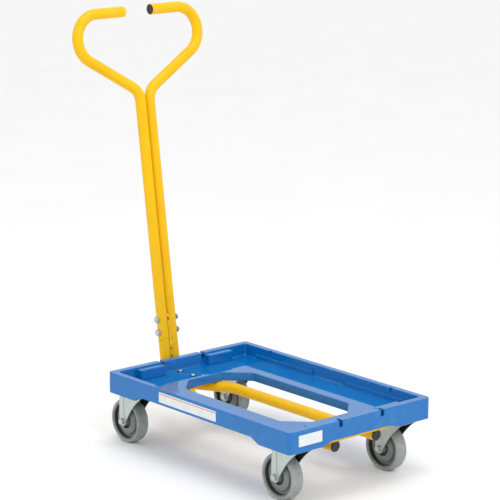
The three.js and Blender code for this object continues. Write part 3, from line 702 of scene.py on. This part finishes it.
def deck_details():
    """What stands on the inside of the rim, and the ribs, bosses and corner blocks underneath."""
    end, side = DECK_LENGTH / 2, DECK_WIDTH / 2
    parts = []
    for sx in (-1, 1):
        for sy in (-1, 1):
            parts += deck_corner(sx, sy)
    in_rim = (ROOF - 1, RIM_TOP - WALL + 1)
    for i in range(-3, 4):
        for sy in (-1, 1):
            x = (i * CROSS_RIB_PITCH - RIB_HALF, i * CROSS_RIB_PITCH + RIB_HALF)
            rib = box(x, (sy * 104, sy * (side - WALL + 1)), (CROSS_RIB_BOTTOM, ROOF + 1))
            gusset = box(x, (sy * (side - SIDE_RIM + 3), sy * (side - WALL + 1)), in_rim)
            parts += [eased(rib, 0.5), gusset]
    for i in range(-2, 3):
        for sx in (-1, 1):
            y = (i * LONG_RIB_PITCH - RIB_HALF, i * LONG_RIB_PITCH + RIB_HALF)
            rib = box((sx * 212, sx * (end - WALL + 1)), y, (LONG_RIB_BOTTOM, ROOF + 1))
            gusset = box((sx * (end - 15), sx * (end - WALL + 1)), y, in_rim)
            parts += [eased(rib, 0.5), gusset]
    for x, y in FLOOR_BOLTS:
        boss = [(9, BOSS_BOTTOM), (9, ROOF + 1), (3.6, ROOF + 1), (3.6, BOSS_BOTTOM)]
        parts.append(moved(turned_ring(boss, sides=40), Matrix.Translation((x, y, 0))))
    return joined(*parts)


def make_deck(blue):
    tray = joined(boolean(deck_shell(), deck_cutters()), deck_details())
    piece("deck_moulding", tray, DECK_PLACE, blue, "cart", ("deck",), 30)


def make_labels(striped, plain):
    """Thin film with rounded corners and a slightly eased edge."""
    low, high = (Vector(corner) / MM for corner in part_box("side_label"))
    shape = eased(prism(label_outline(low, high, 0), "Y", low.y, high.y), 0.15, 2, 60)
    piece("side_label_film", shape, TO_METRES, striped, "cart", ("side_label",))
    low, high = (Vector(corner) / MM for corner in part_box("end_label"))
    shape = eased(prism(label_outline(low, high, 1), "X", low.x, high.x), 0.15, 2, 60)
    piece("end_label_film", shape, TO_METRES, plain, "cart", ("end_label",))


# ---------------------------------------------------------------- fasteners
def hexagon(corner):
    """Turned shape of a hexagon with its corners at that radius, cut off where the profile is smaller."""
    flat = corner * math.cos(math.pi / 6)

    def reach(angle, radius):
        return min(radius, flat / math.cos((angle + math.pi / 6) % (math.pi / 3) - math.pi / 6))
    return reach


def hex_block(axis, corner, start, end):
    """Hexagon block with its corners turned off at both ends and a shallow dish in its outer face."""
    grow = 1 if end > start else -1
    trim = corner * 0.94
    dish = end - grow * 0.5
    profile = [
        (0, start), (corner - 0.9, start), (corner + 0.3, start + grow * 0.8),
        (corner + 0.3, end - grow * 1.1), (trim - 0.5, end - grow * 0.15), (trim - 1.4, end),
        (trim * 0.45, dish), (0, dish),
    ]
    return turned(profile, axis, 72, hexagon(corner))


def thread(axis, radius, start, end, pitch=1.25):
    """Threaded shank end as closely set rounded ridges."""
    turns = max(1, int(abs(end - start) / pitch))
    step = (end - start) / turns
    ridge = ((radius - 0.45, 0.05), (radius, 0.4), (radius, 0.6), (radius - 0.45, 0.95))
    profile = [(0, start)]
    for k in range(turns):
        at = start + k * step
        profile += [(reach, at + step * share) for reach, share in ridge]
    profile += [(radius - 0.8, end), (0, end)]
    return turned(profile, axis, 32)


def washer(axis, inner, outer, start, end):
    return eased(turned_ring([(inner, start), (outer, start), (outer, end), (inner, end)], axis, 48), 0.25, 2)


def cross_bolt(shank_radius, corner, head, face, tip):
    """Hex bolt along Y, head to the right, with a washer under the head."""
    near = -face - GAP
    return joined(
        hex_block("Y", corner, near - 1.2, near - head),
        washer("Y", shank_radius - 0.5, corner + 0.9, near - 1.2, near + 0.1),
        cylinder("Y", shank_radius - 0.1, near - 2, face - 3, sides=32),
        thread("Y", shank_radius - 0.1, face - 3, tip),
    )


def cross_nut(shank_radius, corner, height, face):
    """Flanged lock nut on the left, open where the thread comes through."""
    near = face + GAP
    far = near + height
    flange = corner + 0.5
    body = [
        (shank_radius + 0.1, near), (flange, near), (flange, near + 0.9),
        (corner + 0.1, near + 1.4), (corner + 0.1, far - 1.6), (corner - 1.2, far - 0.6),
        (corner - 2.2, far), (shank_radius + 0.5, far), (shank_radius + 0.1, far - 0.5),
    ]
    six = hexagon(corner)

    def reach(angle, radius):
        return six(angle, radius) if shank_radius + 1 < radius < flange else radius
    return turned_ring(body, "Y", 72, reach)


def make_floor_bolts(zinc, dark):
    """Pan-head screws with a cross recess, on black washers whose dark colour also paints the shadow round
    each head.
    """
    for i, (x, y) in enumerate(FLOOR_BOLTS, 1):
        place = DECK_PLACE @ Matrix.Translation((x, y, 0))
        base = FLOOR_TOP + GAP
        pan = [(0, base + 1.2), (5.2, base + 1.2), (5.2, base + 2), (3.2, base + 3.7), (0, base + 3.9)]
        head = turned(open_profile(pan, 0.8), "Z", 48)
        wide, narrow, deep = (-2.4, 2.4), (-0.5, 0.5), (base + 2.4, base + 5)
        cross = joined(box(wide, narrow, deep), box(narrow, wide, deep))
        shank = cylinder("Z", 3, SKIRT_BOTTOM + 0.5, base + 1.3, sides=32)
        body = joined(boolean(head, cross), shank)
        piece(f"floor_screw_{i}", body, place, zinc, "cart", (f"floor_bolt_{i}",))
        # Painted shadow: the washer takes the black plug finish, so it also stands for the shade round the
        # screw head.
        flat = [(3.1, base), (7.5, base), (7.5, base + 1), (5.5, base + 1.3), (3.1, base + 1.3)]
        ring = turned_ring(open_profile(flat, 0.3), "Z", 48)
        piece(f"floor_washer_{i}", ring, place, dark, "cart")


# ---------------------------------------------------------------- tubes
def weld(points, radius, place, name, material, body):
    """Rippled weld bead along a path."""
    path = [Vector(point) for point in points]
    fine = []
    for a, b in zip(path, path[1:]):
        steps = max(2, int((b - a).length / 0.7))
        fine += [a.lerp(b, k / steps) for k in range(steps)]
    fine.append(path[-1])
    length = sum((b - a).length for a, b in zip(fine, fine[1:]))

    def swell(distance):
        ripple = 0.07 * abs(math.sin(math.pi * distance / 2.6))
        taper = min(1, 0.35 + distance / radius, 0.35 + (length - distance) / radius)
        return radius * taper * (0.95 + ripple)
    piece(name, sweep(fine, swell, 20), place, material, body, smooth=60)


def knuckle_cut():
    """What is cut away to round the foot of the handle."""
    below = box((-30, 30), (-40, 40), (-KNUCKLE_RADIUS - 10, 0))
    return boolean(below, cylinder("Y", KNUCKLE_RADIUS, -50, 50, sides=72))


def make_handle(yellow, black, zinc):
    reach = PAIR_HALF_SPACING + (HEART_TOP - HEART_FORK_HEIGHT) / math.tan(HEART_RISE)
    for word, s in (("left", 1), ("right", -1)):
        y = s * PAIR_HALF_SPACING
        corners = [
            (0, y, -KNUCKLE_RADIUS), (0, y, HEART_FORK_HEIGHT),
            (0, s * reach, HEART_TOP), (0, s * HEART_END, HEART_TOP),
        ]
        tube = sweep(bend_path(corners, [HEART_FORK_RADIUS, HEART_LOBE_RADIUS]), TUBE_RADIUS)
        relief = box((-30, 30), (-TONGUE_HALF - GAP, TONGUE_HALF + GAP), (-40, LOCK_BOLT_HEIGHT + 17))
        holes = [cylinder("Y", BOLT_HOLE, -50, 50, 0, height, 32) for height in (0, LOCK_BOLT_HEIGHT)]
        tube = boolean(tube, relief)
        tube = boolean(tube, joined(*holes))
        tube = boolean(tube, knuckle_cut())
        stands_for = (f"handle_tube_{word}",)
        piece(f"handle_pipe_{word}", tube, HANDLE_PLACE, yellow, "handle", stands_for, 18)
        turn = Matrix.Rotation(math.pi if s > 0 else 0, 4, "X")
        place = HANDLE_PLACE @ Matrix.Translation((0, s * HEART_END, HEART_TOP)) @ turn
        stands_for = (f"handle_plug_{word}",)
        piece(f"handle_end_{word}", plug("Y", 11.7, 1.2), place, black, "handle", stands_for)
    for word, body in (("fold", "cart"), ("lock", "handle")):
        place = HANDLE_PLACE @ Matrix.Translation((0, 0, LOCK_BOLT_HEIGHT if word == "lock" else 0))
        bolt = cross_bolt(BOLT_RADIUS, BOLT_CORNER, BOLT_HEAD, BOLT_FACE, BOLT_FACE + 9)
        piece(f"{word}_hex_bolt", bolt, place, zinc, body, (f"{word}_bolt",))
        nut = cross_nut(BOLT_RADIUS, BOLT_CORNER, 6.5, BOLT_FACE)
        piece(f"{word}_hex_nut", nut, place, zinc, body, (f"{word}_nut",))


def plug(axis, rim, height):
    """Ribbed push-in plug: stem in the bore, flange over the tube's end and a shallow dished face."""
    profile = [(0, -14), (9.6, -14), (10.6, -12)]
    for k in range(4):
        low = 2.4 * k - 10
        profile += [(10.6, low), (10.0, low + 0.6), (10.0, low + 1.8), (10.6, low + 2.4)]
    profile += [(10.6, GAP), (rim, GAP), (rim, height * 0.4)]
    profile += [(rim - 0.6, height * 0.62), (rim - 2.2, height * 0.85), (rim - 4.5, height * 0.97)]
    profile += [(rim - 6, height), (rim - 7, height * 0.9), (0, height * 0.8)]
    return turned(profile, axis, 64)


def make_frame(yellow, black):
    lean = Vector((-math.sin(LEAN), 0, math.cos(LEAN)))
    for word, s in (("left", 1), ("right", -1)):
        y = s * PAIR_HALF_SPACING
        top = FOLD - lean * 10
        foot = FOLD.x + (FOLD.z - FRAME_HEIGHT) * math.tan(LEAN)
        corners = [
            (top.x, y, top.z), (foot, y, FRAME_HEIGHT), (FRAME_BEND_START, y, FRAME_HEIGHT),
            (FRAME_SPREAD_END, s * FRAME_HALF_SPACING, FRAME_HEIGHT),
            (FRAME_FRONT, s * FRAME_HALF_SPACING, FRAME_HEIGHT),
        ]
        tube = sweep(bend_path(corners, [FRAME_BEND_RADIUS] * 3), TUBE_RADIUS)
        seat = cylinder("Y", KNUCKLE_RADIUS + KNUCKLE_CLEARANCE, -60, 60, sides=72)
        relief = box((-20, 20), (-TONGUE_HALF - GAP, TONGUE_HALF + GAP), (-60, 0))
        at_fold = Matrix.Translation(FOLD) @ Matrix.Rotation(-LEAN, 4, "Y")
        tube = boolean(tube, moved(seat, at_fold))
        tube = boolean(tube, moved(relief, at_fold))
        stands_for = (f"frame_tube_{word}",)
        piece(f"frame_pipe_{word}", tube, DECK_PLACE, yellow, "cart", stands_for, 18)
        place = DECK_PLACE @ Matrix.Translation((FRAME_FRONT, s * FRAME_HALF_SPACING, FRAME_HEIGHT))
        stands_for = (f"frame_plug_{word}",)
        piece(f"frame_end_{word}", plug("X", 12.6, 3.7), place, black, "cart", stands_for)


def make_tongue(yellow):
    """Plate between the two stubs, with an open slot that the lock bolt swings out of."""
    top = LOCK_BOLT_HEIGHT + 4
    arch = arc(0, top, TONGUE_REACH, 0, math.pi, 12)
    plate = prism([(-TONGUE_REACH, -56), (TONGUE_REACH, -56)] + arch, "Y", -TONGUE_HALF, TONGUE_HALF)
    back, swing = math.pi / 2, -math.pi / 3
    slot = arc(0, LOCK_BOLT_HEIGHT, BOLT_HOLE, back, math.pi, 8)
    slot += arc(0, 0, LOCK_BOLT_HEIGHT - BOLT_HOLE, back, swing, 8)[1:]
    slot += reversed(arc(0, 0, LOCK_BOLT_HEIGHT + BOLT_HOLE, back, swing, 8)[1:])
    cut = boolean(plate, joined(prism(slot, "Y", -5, 5), cylinder("Y", BOLT_HOLE, -5, 5, sides=32)))
    piece("tongue", cut, HANDLE_PLACE, yellow, "cart", ("tongue_plate",))


def plate_outline(start, end, half, radius, steps):
    return rounded([(start, -half), (end, -half), (end, half), (start, half)], radius, steps)


def make_cross_plates(yellow, zinc):
    high = SKIRT_BOTTOM + PLATE_THICKNESS
    front = plate_outline(*FRONT_PLATE, 8, 6)
    plate = eased(prism(front, "Z", SKIRT_BOTTOM, high), 0.7, 2, 50)
    piece("front_plate", plate, DECK_PLACE, yellow, "cart", ("front_cross_plate",))
    plate = prism(plate_outline(*REAR_PLATE, 4, 4), "Z", SKIRT_BOTTOM, high)
    holes = [cylinder("Z", FLOOR_BOLT_HOLE, SKIRT_BOTTOM - 1, high + 1, x, y, 32) for x, y in FLOOR_BOLTS]
    plate = eased(boolean(plate, joined(*holes)), 0.5, 2, 50)
    piece("rear_plate", plate, DECK_PLACE, yellow, "cart", ("rear_cross_plate",))
    low = SKIRT_BOTTOM
    dome = [(0, low - 3.4), (3, low - 3.2), (6.4, low - 1), (6.4, low), (0, low)]
    for i, (x, y) in enumerate(FRONT_PLATE_BOLTS, 1):
        place = DECK_PLACE @ Matrix.Translation((x, y, 0))
        head = turned(open_profile(dome, 1), "Z", 40)
        piece(f"front_plate_bolt_{i}", head, place, zinc, "cart")


def make_welds(yellow):
    for i, x in enumerate((-8.6, 8.6), 1):
        weld([(x, 0, -40), (x, 0, -24.5)], 4.6, HANDLE_PLACE, f"stub_weld_{i}", yellow, "cart")
    z = SKIRT_BOTTOM - 1.2
    runs = (("front", FRAME_HALF_SPACING, 262, 284), ("rear", PAIR_HALF_SPACING, -279, -264))
    for word, s in (("left", 1), ("right", -1)):
        for k, side in enumerate((-1, 1), 1):
            for end, spacing, x0, x1 in runs:
                y = s * spacing + side * WELD_OFFSET
                bead = [(x0, y, z), (x1, y, z)]
                weld(bead, 2.6, DECK_PLACE, f"{end}_plate_weld_{word}_{k}", yellow, "cart")


# ---------------------------------------------------------------- casters
def caster_plate():
    low, high = SKIRT_BOTTOM, SKIRT_BOTTOM + TOP_PLATE
    outline = rounded([(-33, -44), (33, -44), (33, 44), (-33, 44)], 6, 6)
    cuts = [cylinder("Z", KINGPIN_HOLE, low - 1, high + 1, sides=40)]
    cuts += [cylinder("Z", 4.2, low - 1, high + 1, x, y, 28) for x, y in CASTER_BOLTS]
    return eased(boolean(prism(outline, "Z", low, high), joined(*cuts)), 0.4, 2, 50)


def plate_bolt(x, y):
    low = SKIRT_BOTTOM
    dome = [(0, low - 3.4), (2.6, low - 3.3), (6.6, low - 1.1), (6.6, low - 0.05), (0, low - 0.05)]
    return moved(turned(open_profile(dome, 0.9), "Z", 36), Matrix.Translation((x, y, 0)))


def caster_race():
    """Pressed race: rolled lip, and the groove that the balls run in."""
    low, high = FORK_TOP + GAP, SKIRT_BOTTOM - GAP
    section = [
        (7, low), (24.5, low), (27.2, low + 1.0), (26.0, low + 1.9),
        (28, low + 2.6), (28, high), (7, high),
    ]
    return turned_ring(rounded(section, 0.5, 3), "Z", 72)


def caster_kingpin():
    crown, top = FORK_TOP - FORK_SHEET - GAP, SKIRT_BOTTOM + TOP_PLATE
    section = [
        (0, crown - 4.4), (5, crown - 5), (8, crown - 4.6), (10, crown - 3),
        (10, crown), (6, crown), (6, top), (0, top),
    ]
    return turned(open_profile(section, 0.8), "Z", 48)


def caster_fork():
    """Pressed fork: a folded sheet cut to its side profile, with a raised band down the trailing edge."""
    outer, top = FORK_INNER + FORK_SHEET, FORK_TOP
    section = rounded(
        [(-outer, 30), (-FORK_INNER, 30), (-FORK_INNER, top - FORK_SHEET), (FORK_INNER, top - FORK_SHEET),
         (FORK_INNER, 30), (outer, 30), (outer, top), (-outer, top)],
        [0, 0, 2.5, 2.5, 0, 0, 5, 5], 6)
    channel = prism(section, "X", -60, 45)
    lower = arc(-TRAIL, WHEEL_RADIUS, FORK_FOOT, math.pi, math.pi, 16)
    start, pull, end = Vector(lower[-1]), Vector((-2, 93)), Vector((33, top - 1))
    sweep_up = [start.lerp(pull, t).lerp(pull.lerp(end, t), t) for t in (k / 14 for k in range(1, 15))]
    profile = [(-44, top + 1), (-47, WHEEL_RADIUS + 22)] + lower
    profile += [tuple(p) for p in sweep_up] + [(33.5, top + 1)]
    fork = boolean(channel, prism(profile, "Y", -30, 30), "INTERSECT")
    cuts = joined(
        cylinder("Z", KINGPIN_HOLE, top - 10, top + 5, sides=40),
        cylinder("Y", AXLE_RADIUS + GAP, -40, 40, -TRAIL, WHEEL_RADIUS, 32),
    )
    fork = eased(boolean(fork, cuts), 0.45, 2, 55)
    band = [(-44.3, top - 7), (-45.6, WHEEL_RADIUS + 20)]
    band += arc(-TRAIL, WHEEL_RADIUS, FORK_FOOT - 1.2, math.pi, math.pi, 14)
    band += [(-TRAIL + 6, WHEEL_RADIUS + 14), (-TRAIL + 4.5, top - 7)]
    ribs = []
    for s in (-1, 1):
        rib = prism(band, "Y", *sorted((s * (outer - 0.6), s * (outer + FORK_RIB))))
        ribs.append(eased(rib, 1.1, 4, 50))
    return joined(fork, *ribs)


def wheel_tread():
    """Crowned tread with rolled shoulders and a shallow groove where it meets the core."""
    half = [(43.3, 13.9), (44.6, 15.0), (46.8, 15.6), (48.6, 14.6), (49.9, 12.2), (50.5, 9), (50.75, 4.5)]
    half = [half[0]] + open_profile(half, 3, 3)[1:-1] + [(WHEEL_RADIUS, 0)]
    profile = [(r, -y) for r, y in half] + [(r, y) for r, y in reversed(half[:-1])]
    return turned_ring(profile, "Y", 96)


def wheel_core():
    """Hub in a round recess, a coned web, and a deep groove inside the rim."""
    hub = [(6.9, 17.3), (9.3, 17.4), (10.1, 16.6), (11, 7.6), (17, 7.6), (18.2, 13.2), (20, 13.4)]
    web = [(31, 9.5), (33.6, 4.6), (39.3, 4.6), (40.8, 13.4), (42.6, 13.7)]
    half = open_profile(hub + web, [0, 0.5, 0.6, 1.2, 1.2, 1, 1, 1.5, 1.2, 1.2, 0.8, 0], 3)
    profile = [(r, -y) for r, y in half] + [(r, y) for r, y in reversed(half)]
    return turned_ring(profile, "Y", 96)


def darken_inside(fork, middle, shaded):
    """The inner faces of the fork take the darker copy of the zinc, painted shade for the shadow between the
    legs and under the crown.
    """
    fork.data.materials.append(shaded)
    for face in fork.data.polygons:
        facing_in = (face.center.y - middle) * face.normal.y < 0
        within = abs(face.center.y - middle) < (FORK_INNER + 0.2) * MM
        if within and (facing_in or face.normal.z < -0.5):
            face.material_index = 1


def darken_recess(core, hub, shaded):
    """The round recess about the hub and the outer wall of the ring groove take the darker copy of the core,
    painted shade where these recesses lie in shadow.
    """
    core.data.materials.append(shaded)
    for face in core.data.polygons:
        across = face.center / MM - hub
        reach = math.hypot(across.x, across.z)
        deep = abs(across.y) < 12.5
        outer_wall = reach > 38.5 and across.x * face.normal.x + across.z * face.normal.z < -0.3 * reach
        if deep and (10.5 < reach < 19 or outer_wall):
            face.material_index = 1


def make_casters(zinc, shaded_zinc, tread, core, shaded_core):
    outer = FORK_INNER + FORK_SHEET + FORK_RIB
    for along in ("front", "rear"):
        for side in ("left", "right"):
            n = f"{along}_{side}"
            swivel = Vector(JOINTS[f"{n}_swivel"]["pos_m"]) / MM
            axle = Vector(JOINTS[f"{n}_spin"]["pos_m"]) / MM
            post = TO_METRES @ Matrix.Translation((swivel.x, swivel.y, 0))
            hub = TO_METRES @ Matrix.Translation(axle)
            fork_body, wheel_body = f"{n}_caster", f"{n}_wheel"
            piece(f"{n}_plate", caster_plate(), post, zinc, "cart", (f"{n}_top_plate",))
            bolts = joined(*(plate_bolt(x, y) for x, y in CASTER_BOLTS))
            piece(f"{n}_plate_bolts", bolts, post, zinc, "cart")
            piece(f"{n}_race", caster_race(), post, zinc, "cart", (f"{n}_race_ring",))
            piece(f"{n}_rivet", caster_kingpin(), post, zinc, "cart", (f"{n}_kingpin",))
            fork = piece(f"{n}_pressed_fork", caster_fork(), post, zinc, fork_body, (f"{n}_fork",))
            darken_inside(fork, swivel.y * MM, shaded_zinc)
            bolt = cross_bolt(AXLE_RADIUS, BOLT_CORNER, BOLT_HEAD, outer, outer + 8.5)
            piece(f"{n}_hex_bolt", bolt, hub, zinc, fork_body, (f"{n}_axle_bolt",))
            nut = cross_nut(AXLE_RADIUS, BOLT_CORNER, 6, outer)
            piece(f"{n}_hex_nut", nut, hub, zinc, fork_body, (f"{n}_axle_nut",))
            wall = [(4.3, -18.2), (6.5, -18.2), (6.5, 18.2), (4.3, 18.2)]
            sleeve = turned_ring(rounded(wall, 0.4, 2), "Y", 48)
            piece(f"{n}_sleeve", sleeve, hub, zinc, fork_body, (f"{n}_axle_sleeve",))
            piece(f"{n}_tyre", wheel_tread(), hub, tread, wheel_body, (f"{n}_tread",))
            stands_for = (f"{n}_wheel_core",)
            centre = piece(f"{n}_centre", wheel_core(), hub, core, wheel_body, stands_for)
            darken_recess(centre, axle, shaded_core)


# ---------------------------------------------------------------- studio
def make_studio():
    half = STUDIO_HALF
    corners = [(-half, -half, 0), (half, -half, 0), (half, half, 0), (-half, half, 0)]
    data = bpy.data.meshes.new("studio_floor")
    data.from_pydata(corners, [], [(0, 1, 2, 3)])
    data.materials.append(studio_floor())
    floor = bpy.data.objects.new("studio_floor", data)
    bpy.context.scene.collection.objects.link(floor)
    world = bpy.data.worlds.new("studio")
    world.use_nodes = True
    background = world.node_tree.nodes["Background"]
    background.inputs["Color"].default_value = (1, 1, 1, 1)
    background.inputs["Strength"].default_value = WORLD_STRENGTH
    bpy.context.scene.world = world
    softbox("overhead", (0.4, -0.2, 3.2), (1.2, 1.2), 18)
    softbox("key_right", (2.6, -0.8, 2.4), (0.7, 0.7), 20)
    bpy.context.scene.view_settings.view_transform = "Standard"


make_camera()
make_studio()
blue, yellow, zinc, black = blue_moulding(), yellow_powder_coat(), zinc_plate(), black_plug()
make_deck(blue)
make_labels(label_film(LABEL_STRIPE), label_film())
make_floor_bolts(zinc, black)
make_frame(yellow, black)
make_tongue(yellow)
make_cross_plates(yellow, zinc)
make_handle(yellow, black, zinc)
make_welds(yellow)
# The zinc_shaded copy is painted shade for the inside of each fork.
make_casters(
    zinc, zinc_plate("zinc_shaded", (0.06, 0.08, 0.072)),
    # The darker grey_core copy is painted shade for the hub recess and the groove's outer wall.
    grey_tread(), grey_core(), grey_core("grey_core_shaded", (0.035, 0.04, 0.038), (0.055, 0.062, 0.058)))
